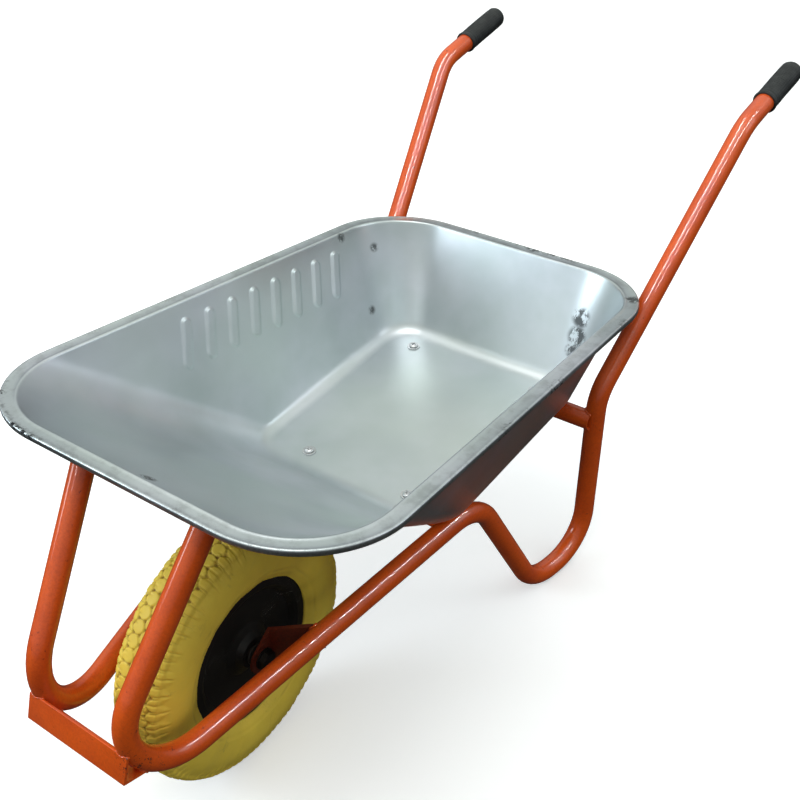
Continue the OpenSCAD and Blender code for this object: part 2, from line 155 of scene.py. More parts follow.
class Shader:
    """A Principled material with short calls for its nodes."""

    def __init__(self, name, **constants):
        self.material = bpy.data.materials.new(name)
        self.material.use_nodes = True
        self.tree = self.material.node_tree
        self.bsdf = self.tree.nodes["Principled BSDF"]
        for key, value in constants.items():
            self.bsdf.inputs[key.replace("_", " ")].default_value = value
        self.where = self.node("ShaderNodeTexCoord").outputs["Object"]

    def node(self, kind, inputs=None, **settings):
        made = self.tree.nodes.new(kind)
        for key, value in settings.items():
            setattr(made, key, value)
        for key, value in (inputs or {}).items():
            self.put(made.inputs[key], value)
        return made

    def put(self, socket, value):
        if isinstance(value, bpy.types.NodeSocket):
            self.tree.links.new(value, socket)
        else:
            socket.default_value = value

    def noise(self, scale, detail=3.0, rough=0.5, stretch=None, distort=0.0):
        vector = self.where
        if stretch:
            vector = self.node(
                "ShaderNodeMapping", {"Vector": vector, "Scale": stretch}
            ).outputs[0]
        return self.node("ShaderNodeTexNoise", {
            "Vector": vector, "Scale": scale, "Detail": detail,
            "Roughness": rough, "Distortion": distort}).outputs["Fac"]

    def ramp(self, value, lo, hi, out_lo=0.0, out_hi=1.0):
        return self.node("ShaderNodeMapRange", {
            "Value": value, "From Min": lo, "From Max": hi,
            "To Min": out_lo, "To Max": out_hi}, interpolation_type="SMOOTHSTEP").outputs[0]

    def math(self, kind, a, b):
        made = self.node("ShaderNodeMath", operation=kind, use_clamp=False)
        self.put(made.inputs[0], a)
        self.put(made.inputs[1], b)
        return made.outputs[0]

    def near(self, centre, radius, edge):
        """1 inside a ball, falling to 0 over its edge."""
        gap = self.node("ShaderNodeVectorMath", {0: self.where, 1: centre}, operation="DISTANCE")
        return self.ramp(gap.outputs["Value"], radius + edge, radius)

    def any_of(self, masks):
        total = masks[0]
        for m in masks[1:]:
            total = self.math("MAXIMUM", total, m)
        return total

    def mix(self, factor, a, b):
        made = self.node("ShaderNodeMix", data_type="RGBA")
        for socket, value in zip([made.inputs[0], made.inputs[6], made.inputs[7]],
                                 [factor, a, b]):
            self.put(socket, value)
        return made.outputs[2]

    # Reads the vertex mask of edge wear on the tray and of painted groove shade on the tyre.
    def wear_and_groove_shade(self):
        return self.node("ShaderNodeAttribute", attribute_name="wear_and_groove_shade").outputs["Fac"]

    def bump(self, height, strength, distance, under=None):
        made = self.node("ShaderNodeBump", {
            "Height": height, "Strength": strength, "Distance": distance})
        if under:
            self.put(made.inputs["Normal"], under)
        return made.outputs[0]

    def set(self, **sockets):
        for key, value in sockets.items():
            self.put(self.bsdf.inputs[key.replace("_", " ")], value)
        return self.material


def rgb(r, g, b):
    return (r, g, b, 1.0)


def galvanised():
    """Satin zinc-coated sheet with soft clouds, rolling streaks, scuffs and dark edge chips."""
    s = Shader("galvanised_sheet", Metallic=1.0)
    clouds = s.noise(5.0, 4.0, 0.55)
    streaks = s.noise(9.0, 4.0, 0.6, stretch=(1.0, 0.12, 1.0))
    grain = s.noise(420.0, 2.0, 0.6)
    base = s.mix(s.ramp(clouds, 0.3, 0.7), rgb(0.53, 0.585, 0.59), rgb(0.67, 0.695, 0.735))
    tint = s.ramp(s.noise(3.2, 2.0), 0.40, 0.62, 0.0, 0.6)
    base = s.mix(tint, base, rgb(0.63, 0.70, 0.665))
    base = s.mix(s.ramp(streaks, 0.45, 0.75, 0.0, 0.35), base, rgb(0.56, 0.61, 0.60))
    edge = s.wear_and_groove_shade()
    patches = s.ramp(s.noise(11.0, 5.0, 0.65), 0.50, 0.60)
    flakes = s.ramp(s.noise(120.0, 5.0, 0.8), 0.46, 0.56)
    knocked = s.any_of([
        s.near((0.05, 0.33, 0.47), 0.10, 0.06), s.near((0.28, 0.24, 0.47), 0.06, 0.05),
        s.near((0.31, -0.12, 0.52), 0.12, 0.10), s.near((-0.22, -0.56, 0.57), 0.07, 0.06),
    ])
    chips = s.math("MULTIPLY", s.math("MULTIPLY", patches, flakes), s.ramp(edge, 0.5, 0.85))
    chips = s.math("MULTIPLY", chips, s.ramp(knocked, 0.0, 1.0, 0.2, 1.0))
    smear = s.any_of([
        s.near((0.155, 0.262, 0.405), 0.011, 0.011), s.near((0.158, 0.252, 0.375), 0.012, 0.012),
        s.near((0.154, 0.244, 0.352), 0.007, 0.010), s.near((-0.250, 0.159, 0.486), 0.004, 0.008),
        s.near((-0.228, 0.221, 0.443), 0.003, 0.008), s.near((-0.202, 0.172, 0.348), 0.003, 0.008),
        s.near((0.021, -0.553, 0.586), 0.005, 0.009), s.near((0.034, 0.320, 0.470), 0.007, 0.010),
        s.near((0.250, 0.248, 0.480), 0.007, 0.010),
    ])
    broken = s.ramp(s.noise(90.0, 5.0, 0.8, stretch=(1.0, 1.0, 0.4)), 0.42, 0.52)
    smear = s.math("MULTIPLY", smear, broken)
    grime = s.math("MULTIPLY", s.ramp(s.noise(30.0, 6.0, 0.7), 0.42, 0.66), 0.32)
    dark = s.math("MAXIMUM", chips, s.math("MULTIPLY", smear, 0.8))
    base = s.mix(s.math("MULTIPLY", grime, s.ramp(edge, 0.12, 0.5)), base, rgb(0.2, 0.21, 0.2))
    base = s.mix(dark, base, rgb(0.025, 0.026, 0.028))
    rough = s.ramp(clouds, 0.25, 0.75, 0.33, 0.42)
    rough = s.math("ADD", rough, s.math("MULTIPLY", dark, 0.3))
    fine = s.bump(grain, 0.05, 0.0004)
    return s.set(Base_Color=base, Roughness=rough,
                 Normal=s.bump(s.noise(7.0, 2.0), 0.12, 0.004, fine))


def paint(name, lit, deep, chipped, coat=1.0):
    """Enamel on steel: slight orange peel, dirt and small black chips where it is knocked."""
    s = Shader(name, Coat_Weight=coat, Coat_Roughness=0.03, Specular_IOR_Level=0.12)
    base = s.mix(s.ramp(s.noise(12.0, 4.0), 0.35, 0.7), rgb(*lit), rgb(*deep))
    mottle = s.ramp(s.noise(300.0, 3.0, 0.7), 0.35, 0.7, 0.0, 0.22)
    base = s.mix(mottle, base, rgb(0.30, 0.035, 0.01))
    specks = s.ramp(s.noise(150.0, 2.0, 0.6), 0.70, 0.75, 0.0, 0.4)
    base = s.mix(specks, base, rgb(0.10, 0.02, 0.01))
    zones = s.any_of([s.near(centre, radius, radius) for centre, radius in chipped])
    flakes = s.ramp(s.noise(110.0, 5.0, 0.75), 0.585, 0.60)
    chips = s.math("MULTIPLY", zones, flakes)
    base = s.mix(chips, base, rgb(0.02, 0.016, 0.014))
    rough = s.ramp(s.noise(25.0, 4.0), 0.3, 0.7, 0.36, 0.5)
    peel = s.bump(s.noise(170.0, 2.0), 0.05, 0.0006)
    return s.set(Base_Color=base, Roughness=rough,
                 Normal=s.bump(chips, -0.3, 0.0004, peel))


def polyurethane():
    """Matte yellow foam rubber with painted shade in its grooves, as a darker yellow, and brown
    grime on its sides.
    """
    s = Shader("yellow_tyre", Specular_IOR_Level=0.35, Subsurface_Weight=0.05)
    s.bsdf.inputs["Subsurface Radius"].default_value = (0.004, 0.002, 0.001)
    base = s.mix(s.ramp(s.noise(9.0, 5.0, 0.6), 0.35, 0.7),
                 rgb(0.93, 0.68, 0.08), rgb(0.80, 0.58, 0.07))
    # Painted shade: the groove mask darkens the yellow in the tread grooves, between the shoulder
    # ribs and in the sidewall ring.
    grooves = s.math("MULTIPLY", s.wear_and_groove_shade(), s.ramp(s.noise(45.0, 4.0), 0.2, 0.6))
    base = s.mix(grooves, base, rgb(0.30, 0.18, 0.03))
    smut = s.ramp(s.noise(22.0, 7.0, 0.75, distort=0.6), 0.56, 0.78, 0.0, 0.6)
    base = s.mix(smut, base, rgb(0.20, 0.14, 0.05))
    rough = s.ramp(s.noise(30.0, 3.0), 0.3, 0.7, 0.5, 0.66)
    return s.set(Base_Color=base, Roughness=rough,
                 Normal=s.bump(s.noise(330.0, 4.0), 0.25, 0.0006))


def rim_black():
    """Smooth black rim with dust and a few light scratches."""
    s = Shader("rim_black", Specular_IOR_Level=0.22)
    dust = s.ramp(s.noise(40.0, 6.0, 0.7), 0.5, 0.8, 0.0, 0.22)
    scratch = s.noise(26.0, 2.0, 0.4, stretch=(1.0, 1.0, 9.0), distort=1.4)
    line = s.math("MULTIPLY", s.ramp(scratch, 0.502, 0.5), s.ramp(scratch, 0.497, 0.499))
    line = s.math("MULTIPLY", line, s.ramp(s.noise(14.0, 2.0), 0.56, 0.64))
    base = s.mix(dust, rgb(0.010, 0.009, 0.008), rgb(0.05, 0.045, 0.035))
    base = s.mix(line, base, rgb(0.45, 0.43, 0.40))
    rough = s.ramp(s.noise(18.0, 4.0), 0.3, 0.7, 0.42, 0.58)
    return s.set(Base_Color=base, Roughness=rough,
                 Normal=s.bump(s.noise(220.0, 3.0), 0.08, 0.0005))


def rubber():
    """Dull black-grey rubber with fine grain and palm dust."""
    s = Shader("grip_rubber", Specular_IOR_Level=0.4)
    base = s.mix(s.ramp(s.noise(60.0, 6.0, 0.7), 0.4, 0.75), rgb(0.012, 0.014, 0.014),
                 rgb(0.034, 0.037, 0.036))
    rough = s.ramp(s.noise(40.0, 4.0), 0.3, 0.7, 0.42, 0.62)
    return s.set(Base_Color=base, Roughness=rough,
                 Normal=s.bump(s.noise(500.0, 4.0, 0.7), 0.35, 0.0006))


def metal(name, light, dark, low, high):
    """Plated or drawn steel with fine brushing and dull spots."""
    s = Shader(name, Metallic=1.0)
    base = s.mix(s.ramp(s.noise(90.0, 5.0, 0.7), 0.35, 0.7), rgb(*light), rgb(*dark))
    rough = s.ramp(s.noise(60.0, 4.0), 0.3, 0.7, low, high)
    return s.set(Base_Color=base, Roughness=rough,
                 Normal=s.bump(s.noise(700.0, 2.0, stretch=(1.0, 1.0, 0.2)), 0.08, 0.0003))


def nylon():
    """Dull black plastic."""
    s = Shader("bush_nylon", Subsurface_Weight=0.1)
    base = s.mix(s.ramp(s.noise(80.0, 4.0), 0.3, 0.7), rgb(0.035, 0.034, 0.03),
                 rgb(0.055, 0.05, 0.045))
    return s.set(Base_Color=base, Roughness=s.ramp(s.noise(50.0), 0.3, 0.7, 0.45, 0.6))


NOSE_CHIPS = [((0.093, -0.705, 0.285), 0.016), ((0.1, -0.66, 0.262), 0.012),
              ((0.1, -0.69, 0.335), 0.007), ((0.262, 0.55, 0.672), 0.006),
              ((-0.287, 0.54, 0.68), 0.007), ((-0.255, 0.37, 0.52), 0.008)]
GALVANISED = galvanised()
ORANGE = paint("orange_enamel", (0.78, 0.105, 0.008), (0.64, 0.078, 0.008), NOSE_CHIPS,
               coat=0.8)
BRACKET = paint("bracket_enamel", (0.10, 0.018, 0.009), (0.07, 0.013, 0.007),
                [((0.056, -0.46, 0.2), 0.02)], coat=0.3)
YELLOW = polyurethane()
BLACK = rim_black()
RUBBER = rubber()
ZINC = metal("zinc_plate", (0.66, 0.67, 0.68), (0.48, 0.49, 0.5), 0.25, 0.4)
# Near-black steel for the hub_steel parts: painted shade that keeps the axle bolt and nut as dark
# as the shade under the tray.
STEEL = metal("dark_steel", (0.055, 0.048, 0.045), (0.032, 0.027, 0.025), 0.5, 0.66)
NYLON = nylon()
BY_SLOT = {
    "galvanised": GALVANISED, "orange_paint": ORANGE, "bracket_paint": BRACKET,
    "grip_rubber": RUBBER, "yellow_tyre": YELLOW, "rim_black": BLACK,
    "hub_steel": STEEL, "bush_nylon": NYLON, "zinc": ZINC,
}
for part in frame["record"]["subparts"]:
    node = nodes[part["node"]]
    node.data.materials.clear()
    node.data.materials.append(BY_SLOT[part["material_slot"]])
for name, width in [("axle_bracket_right", 0.0008), ("axle_bracket_left", 0.0008),
                    ("axle_bolt", 0.0006), ("axle_nut", 0.0006), ("tray_nuts", 0.0004),
                    ("upright_pad_right", 0.0008), ("upright_pad_left", 0.0008)]:
    bevel = nodes[name].modifiers.new("edges", "BEVEL")
    bevel.width, bevel.segments, bevel.limit_method = width, 2, "ANGLE"
    bevel.angle_limit = math.radians(40)


# ---------------------------------------------------------------- tray

TRAY_LO, TRAY_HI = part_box("tray")
SHEET = 0.0015
FLOOR = TRAY_LO.z + SHEET
FLANGE = 0.024
RIM_MID = TRAY_LO.z + 0.222
RIM_FALL = math.tan(math.radians(8))
FILLET = 0.021
FLOOR_BOX = [(0.183, -0.185), (0.183, 0.221), (-0.183, 0.221), (-0.183, -0.185)]
RIM_BOX = [(0.310, TRAY_LO.y), (0.269, TRAY_HI.y), (-0.269, TRAY_HI.y), (-0.310, TRAY_LO.y)]
COARSE = np.linspace(0, 1, 24)[1:-1]
FINE = np.unique(np.concatenate([COARSE, np.arange(0.07, 0.985, 0.0046)]))
EDGE_STEPS = [COARSE, COARSE, FINE, COARSE]    # right, rear, left with its ribs, front


def outline(box, radii):
    """Points and outward directions around a rounded box, in matched columns."""
    arcs, places, outward = [], [], []
    for i, corner in enumerate(box):
        v = np.array(corner)
        a, b = unit(np.array(box[i - 1]) - v), unit(np.array(box[(i + 1) % 4]) - v)
        half = math.acos(a @ b) / 2
        centre = v + unit(a + b) * radii[i] / math.sin(half)
        start = v + a * radii[i] / math.tan(half) - centre
        w = math.atan2(start[1], start[0]) + np.linspace(0, math.pi - 2 * half, 23)
        turn = np.stack([np.cos(w), np.sin(w)], 1)
        arcs.append((centre + radii[i] * turn, turn))
    for i, (place, turn) in enumerate(arcs):
        after, turn_after = arcs[(i + 1) % 4]
        k = EDGE_STEPS[i][:, None]
        places += [place, place[-1] + (after[0] - place[-1]) * k]
        outward += [turn, unit(turn[-1] + (turn_after[0] - turn[-1]) * k)]
    return np.concatenate(places), np.concatenate(outward)


def capsule_gap(a, b, start, end):
    """Distance in a plane from (a, b) to a segment."""
    d = np.subtract(end, start)
    t = np.clip(((a - start[0]) * d[0] + (b - start[1]) * d[1]) / (d @ d), 0, 1)
    return np.hypot(a - start[0] - t * d[0], b - start[1] - t * d[1])


# Rim section from the top of the wall outward: (outward, up, wear)
RIM_SECTION = [
    (0.0005, 0.0003, 0.2), (0.0016, 0.0009, 0.2), (0.0030, 0.0010, 0.2),
    (0.0044, 0.0006, 0.35), (0.0058, 0.0001, 0.45), (0.0085, 0.0, 0.5),
    (0.013, -0.0001, 0.55), (0.0172, -0.0001, 0.65), (0.0192, 0.0002, 0.75),
    (0.0206, 0.0005, 0.85), (0.0218, 0.0005, 0.95), (0.023, 0.0, 1.0),
    (0.0238, -0.0013, 1.0), (0.024, -0.004, 1.0), (0.0239, -0.0065, 0.9),
    (0.0233, -0.0085, 0.8), (0.0221, -0.0094, 0.7), (0.0207, -0.009, 0.6),
]
RIB_TOP, RIB_FOOT, RIB_LEAN, RIB_PITCH, RIB_COUNT = 0.032, 0.088, 0.012, 0.0485, 8
RIB_HEIGHT, RIB_FIRST, RIB_FLAT, RIB_EDGE = 0.0024, -0.222, 0.006, 0.0098
FLOOR_MID_Y, LEFT_WALL_X = 0.018, -0.17
DENTS_UP, DENTS_OUT = 0.0004, 0.0005


def tray_surface():
    """Points, faces and wear of the pressing's inside, from the floor out to the rim."""
    floor, floor_out = outline(FLOOR_BOX, [0.062] * 4)
    rim, rim_out = outline(RIM_BOX, [0.148, 0.137, 0.137, 0.148])
    n = len(rim)
    flat = np.zeros((n, 1))
    foot = np.hstack([floor, flat + FLOOR])
    foot_out, mouth_out = np.hstack([floor_out, flat]), np.hstack([rim_out, flat])

    def on_rim(outward, up):
        p = rim + rim_out * (outward - FLANGE)
        return np.hstack([p, (RIM_MID + up - p[:, 1] * RIM_FALL)[:, None]])

    mouth = on_rim(0, 0)
    wall = unit(mouth - foot)
    inner, centre = foot - foot_out * FILLET, np.array([0, FLOOR_MID_Y, FLOOR])
    rows = [centre + (inner - centre) * k for k in (0.1, 0.3, 0.5, 0.7, 0.85, 0.95)]
    for t in np.linspace(0, 1, 10):
        rows.append((1 - t) ** 2 * inner + 2 * t * (1 - t) * foot
                    + t * t * (foot + wall * FILLET))
    low, high = foot + wall * FILLET, mouth - wall * 0.007
    steps = np.concatenate([np.linspace(0, 0.46, 10)[1:], np.arange(0.47, 0.97, 0.009), [1.0]])
    for t in steps:
        rows.append(low + (high - low) * t)
    rows += [mouth - wall * 0.004, mouth - wall * 0.0015]
    wear_and_groove_shade = [0.0] * (len(rows) - 3) + [0.1, 0.2, 0.25]
    for outward, up, worn_and_groove_shade in RIM_SECTION:
        rows.append(on_rim(outward, up))
        wear_and_groove_shade.append(worn_and_groove_shade)
    rows = np.array(rows)

    # Pressed ribs on the left wall, and a little unevenness of the sheet
    left = (rows[..., 0] < LEFT_WALL_X) & (np.abs(rim_out[:, 0]) > 0.9)
    a, b = rows[..., 1], RIM_MID - rows[..., 1] * RIM_FALL - rows[..., 2]
    gap = np.full(a.shape, 1.0)
    for k in range(RIB_COUNT):
        mid = RIB_FIRST + k * RIB_PITCH
        gap = np.minimum(gap, capsule_gap(a, b, (mid - RIB_LEAN, RIB_FOOT),
                                          (mid + RIB_LEAN, RIB_TOP)))
    lift = np.where(left, RIB_HEIGHT * smooth(RIB_EDGE, RIB_FLAT, gap), 0.0)
    inward = np.stack([wall[:, 2], 0 * wall[:, 1], -wall[:, 0]], 1)
    rows += inward * lift[..., None]
    inside = smooth(0.02, 0.05, RIM_MID - rows[..., 2])
    rows[..., 2] += DENTS_UP * wave(rows * 12.0, 3) * inside
    rows[..., :2] += (DENTS_OUT * wave(rows * 14.0, 4) * inside)[..., None] * rim_out
    verts = np.vstack([rows.reshape(-1, 3), centre])
    faces = grid_faces(len(rows), n)[:, ::-1].tolist()
    faces += [[(c + 1) % n, n * len(rows), c] for c in range(n)]
    return verts, faces, np.append(np.repeat(wear_and_groove_shade, n), 0)


verts, faces, worn_and_groove_shade = tray_surface()
tray = add_mesh("tray_pressing", verts, faces, "frame", GALVANISED,
                ["tray"], worn_and_groove_shade)
sheet = tray.modifiers.new("sheet", "SOLIDIFY")
sheet.thickness, sheet.offset, sheet.use_even_offset = SHEET * 0.9, -1, True


# ---------------------------------------------------------------- tray screws

HEAD_R, HEAD_H, RECESS = 0.0078, 0.0042, 0.0024
THREAD_R, THREAD_DEPTH, THREAD_PITCH = 0.0037, 0.0003, 0.0012
SCREW_TURNS = (0.3, 1.1, 0.6, 0.1)


def cross_arm(u, v):
    """1 inside one arm of the cross recess."""
    return smooth(0.0013, 0.0007, np.abs(u)) * smooth(0.0046, 0.0034, np.abs(v))


def screw():
    """Pan head with a cross recess above its washer, and a threaded shank below."""
    rings, around = 34, 64
    r = np.linspace(0, HEAD_R, rings)[1:]
    w = np.arange(around) * 2 * math.pi / around
    x, y = r[:, None] * np.cos(w), r[:, None] * np.sin(w)
    z = HEAD_H * np.sqrt(np.clip(1 - (r / 0.0079) ** 2.6, 0, 1))[:, None] + 0 * x
    z = z - RECESS * np.maximum(cross_arm(x, y), cross_arm(y, x))
    verts = np.concatenate([np.stack([x, y, z], -1).reshape(-1, 3), [[0, 0, HEAD_H - RECESS]]])
    faces = grid_faces(rings - 1, around).tolist()
    faces += [[rings * around - around, c, (c + 1) % around] for c in range(around)]
    last = (rings - 2) * around
    faces.append([last + c for c in range(around)][::-1])
    lo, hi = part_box("tray_bolts")
    length = hi.z - lo.z - 0.0045
    z = np.linspace(-length, 0, 2 * int(length / (THREAD_PITCH / 2)))
    r = THREAD_R + THREAD_DEPTH * np.cos(np.arange(len(z)) * math.pi)
    shank = turned([(0, -length), *zip(r, z), (0, 0)], 24)
    shank_faces = grid_faces(len(shank), 24).tolist()
    return joined([(verts, faces), (shank.reshape(-1, 3), shank_faces)])


def axes_of(node):
    """Centres in plan of the separate solids of a node with one in each quarter."""
    co = np.array([v.co for v in nodes[node].data.vertices])
    places = []
    for sx in (1, -1):
        for front in (True, False):
            part = co[(co[:, 0] * sx > 0) & ((co[:, 1] < 0) == front)]
            places.append((part.min(0) + part.max(0)) / 2)
    return places


washer_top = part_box("tray_head_washers")[1].z
verts, faces = screw()
parts = []
for place, turn in zip(axes_of("tray_bolts"), SCREW_TURNS):
    spin = np.array(Matrix.Rotation(turn, 3, "Z"))
    parts.append((verts @ spin.T + [place[0], place[1], washer_top], faces))
verts, faces = joined(parts)
add_mesh("tray_screws", verts, faces, "frame", ZINC, ["tray_bolts"], sharp=40)


# ---------------------------------------------------------------- nose bar

BAR_LEG, BAR_SHEET, BAR_LEAN, BAR_CHAMFER = 0.040, 0.004, math.radians(-20), 0.0008


def bar_section():
    """Rounded outline of an angle section with its corner at the origin."""
    leg, t = BAR_LEG, BAR_SHEET
    corners = [((0, 0), 0.003), ((leg, 0), 0.0012), ((leg, t), 0.0015), ((t, t), 0.003),
               ((t, leg), 0.0015), ((0, leg), 0.0012)]
    points = []
    for i, (v, r) in enumerate(corners):
        v = np.array(v)
        a = unit(np.array(corners[i - 1][0]) - v)
        b = unit(np.array(corners[(i + 1) % 6][0]) - v)
        for k in np.linspace(0, 1, 6):
            points.append(v + a * r * (1 - k) ** 2 + b * r * k * k)
    return np.array(points)


def nose_angle():
    """The angle bar across the nose bends, with softened ends."""
    lo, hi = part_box("nose_bar")
    section = bar_section()
    middle = section.mean(0)
    half, soft = hi.x, BAR_CHAMFER
    loops = []
    for x, shrink in [(-half, soft), (-half + soft, 0.0), (0.0, 0.0),
                      (half - soft, 0.0), (half, soft)]:
        p = section + unit(middle - section) * shrink
        y = p[:, 0] * math.cos(BAR_LEAN) - p[:, 1] * math.sin(BAR_LEAN) + lo.y
        z = p[:, 0] * math.sin(BAR_LEAN) + p[:, 1] * math.cos(BAR_LEAN)
        loops.append(np.stack([np.full(len(p), x), y, z], 1))
    loops = np.array(loops)
    loops[..., 2] += hi.z - loops[..., 2].max()
    n = len(section)
    faces = grid_faces(len(loops), n).tolist()
    faces += [list(range(n))[::-1], [(len(loops) - 1) * n + k for k in range(n)]]
    return loops.reshape(-1, 3), faces


verts, faces = nose_angle()
add_mesh("nose_angle", verts, faces, "frame", ORANGE, ["nose_bar"], sharp=35)


# ---------------------------------------------------------------- welds

WELD_R, NOSE_WELD_R, RIPPLE = 0.0021, 0.0014, 0.0034
SHORTEST_WELD = 0.012
WELDS = [("cross_tube_rear", "frame_tube_right"), ("cross_tube_rear", "frame_tube_left"),
         ("cross_tube_front", "frame_tube_right"), ("cross_tube_front", "frame_tube_left"),
         ("nose_bar", "frame_tube_right"), ("nose_bar", "frame_tube_left"),
         ("frame_tube_right", "upright_pad_right"), ("frame_tube_left", "upright_pad_left"),
         ("axle_bracket_right", "frame_tube_right"), ("axle_bracket_left", "frame_tube_left")]


def weld_paths(node, other, reach=0.00025):
    """Lines along which a node's sharp edges lie on another node's surface."""
    mesh, surface = nodes[node].data, nodes[other].data
    tree = BVHTree.FromPolygons([v.co for v in surface.vertices],
                                [tuple(p.vertices) for p in surface.polygons])
    keys, where, same = {}, [], []
    for v in mesh.vertices:
        key = tuple(round(c * 2e5) for c in v.co)
        if key not in keys:
            keys[key] = len(where)
            where.append(v.co.copy())
        same.append(keys[key])
    touching = [(tree.find_nearest(p, reach)[0] is not None) for p in where]
    sides = {}
    for p in mesh.polygons:
        ids = [same[i] for i in p.vertices]
        for a, b in zip(ids, ids[1:] + ids[:1]):
            if a != b and touching[a] and touching[b]:
                sides.setdefault(frozenset((a, b)), []).append(p.normal)
    links = {}
    for edge, normals in sides.items():
        if len(normals) == 2 and normals[0].angle(normals[1], 0) > math.radians(25):
            a, b = edge
            links.setdefault(a, set()).add(b)
            links.setdefault(b, set()).add(a)
    paths = []
    while links:
        start = next((a for a in links if len(links[a]) == 1), next(iter(links)))
        path, here = [start], start
        while links.get(here):
            after = links[here].pop()
            links[after].discard(here)
            path.append(after)
            here = after
        for a in [a for a in links if not links[a]]:
            del links[a]
        paths.append(np.array([where[i] for i in path]))
    return paths


def bead(path, radius, seed):
    """A rippled weld bead along a line, or nothing when the line is short."""
    step = np.linalg.norm(np.diff(path, axis=0), axis=1)
    far = np.concatenate([[0], np.cumsum(step)])
    if far[-1] < SHORTEST_WELD:
        return None
    keep = np.concatenate([[True], step > 1e-7])
    path, far = path[keep], far[keep]
    t = np.linspace(0, far[-1], max(8, int(far[-1] / 0.0009)))
    line = np.stack([np.interp(t, far, path[:, k]) for k in range(3)], 1)
    size = radius * (1 + 0.16 * np.sin(t / RIPPLE * 2 * math.pi)
                     + 0.12 * wave(t[:, None] * 160, seed))
    size *= np.clip(0.35 + np.minimum(t, far[-1] - t) / 0.004, 0, 1)
    return swept(line, size, 8)


beads = []
for seed, (node, other) in enumerate(WELDS):
    for path in weld_paths(node, other):
        made = bead(path, NOSE_WELD_R if node == "nose_bar" else WELD_R, seed)
        if made:
            beads.append(made)
verts, faces = joined(beads)
add_mesh("weld_beads", verts, faces, "frame", ORANGE)


# ---------------------------------------------------------------- tyre

TYRE_LO, TYRE_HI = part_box("tyre")
WHEEL_R = (TYRE_HI.z - TYRE_LO.z) / 2
AXLE = np.array([0, (TYRE_LO.y + TYRE_HI.y) / 2, WHEEL_R])
HALF_W = TYRE_HI.x
AROUND = 1008
BEAD_R, BEAD_X, BEAD_FOOT = 0.114, 0.0335, 0.014
TREAD_DEPTH, RIB_RELIEF, LUMP, RING_DEPTH = 0.003, 0.0012, 0.0006, 0.0005
RING_R, RING_W = 0.1275, 0.0016
PITCH = 2 * math.pi * WHEEL_R / 63
HEX_R = PITCH / math.sqrt(3)


def tyre_profile():
    """Half section of the carcass from rim to crown, mirrored: (radius, across)."""
    rough = np.array([(0.1140, 0.0375), (0.1185, 0.0418), (0.1260, 0.0452), (0.136, 0.0478),
                      (0.148, HALF_W), (0.160, HALF_W - 0.0005), (0.171, HALF_W - 0.0035),
                      (0.181, HALF_W - 0.0085), (0.1885, HALF_W - 0.0155),
                      (0.1935, HALF_W - 0.026), (0.1955, HALF_W - 0.038), (0.1958, 0.0)])
    far = np.concatenate([[0], np.cumsum(np.linalg.norm(np.diff(rough, axis=0), axis=1))])
    t = np.concatenate([np.linspace(0, far[-1] - 0.045, 38),
                        far[-1] - np.arange(38)[::-1] * 0.0012])
    fine = np.stack([np.interp(t, far, rough[:, k]) for k in range(2)], 1)
    for _ in range(10):
        fine[1:-1] = (fine[:-2] + 2 * fine[1:-1] + fine[2:]) / 4
    other = fine[:-1][::-1] * [1, -1]
    return np.vstack([fine, other])


def from_column(a, start):
    """Distance around the tyre to the nearest place that repeats every PITCH from start."""
    return np.abs((a - start + PITCH / 2) % PITCH - PITCH / 2)


def tread(a, x):
    """Height of the tread, from 0 in the grooves to 1 on the plates, and its groove mask."""
    x = np.abs(x)
    plates = []
    for row in range(3):
        da, dx = from_column(a, row * PITCH / 2), np.abs(x - row * 1.5 * HEX_R)
        reach = np.maximum(da, 0.5 * da + 0.866 * dx)
        plates.append(smooth(PITCH / 2 - 0.0002, PITCH / 2 - 0.0014, reach))
    plates = 0.4 + 0.6 * np.maximum.reduce(plates)
    for start, column in [(0.5, 0.5), (0, 1), (0, 2), (0.5, 2.5)]:
        gap = np.hypot(from_column(a, start * PITCH), x - column * HEX_R)
        plates = plates * smooth(0.0014, 0.0030, gap)
    band = smooth(0.0400, 0.0345, x)
    return plates * band, (1 - plates) * band


def bump_at(value, middle, width):
    """A rounded bump of height 1 around a value."""
    return np.exp(-((value - middle) / width) ** 2)


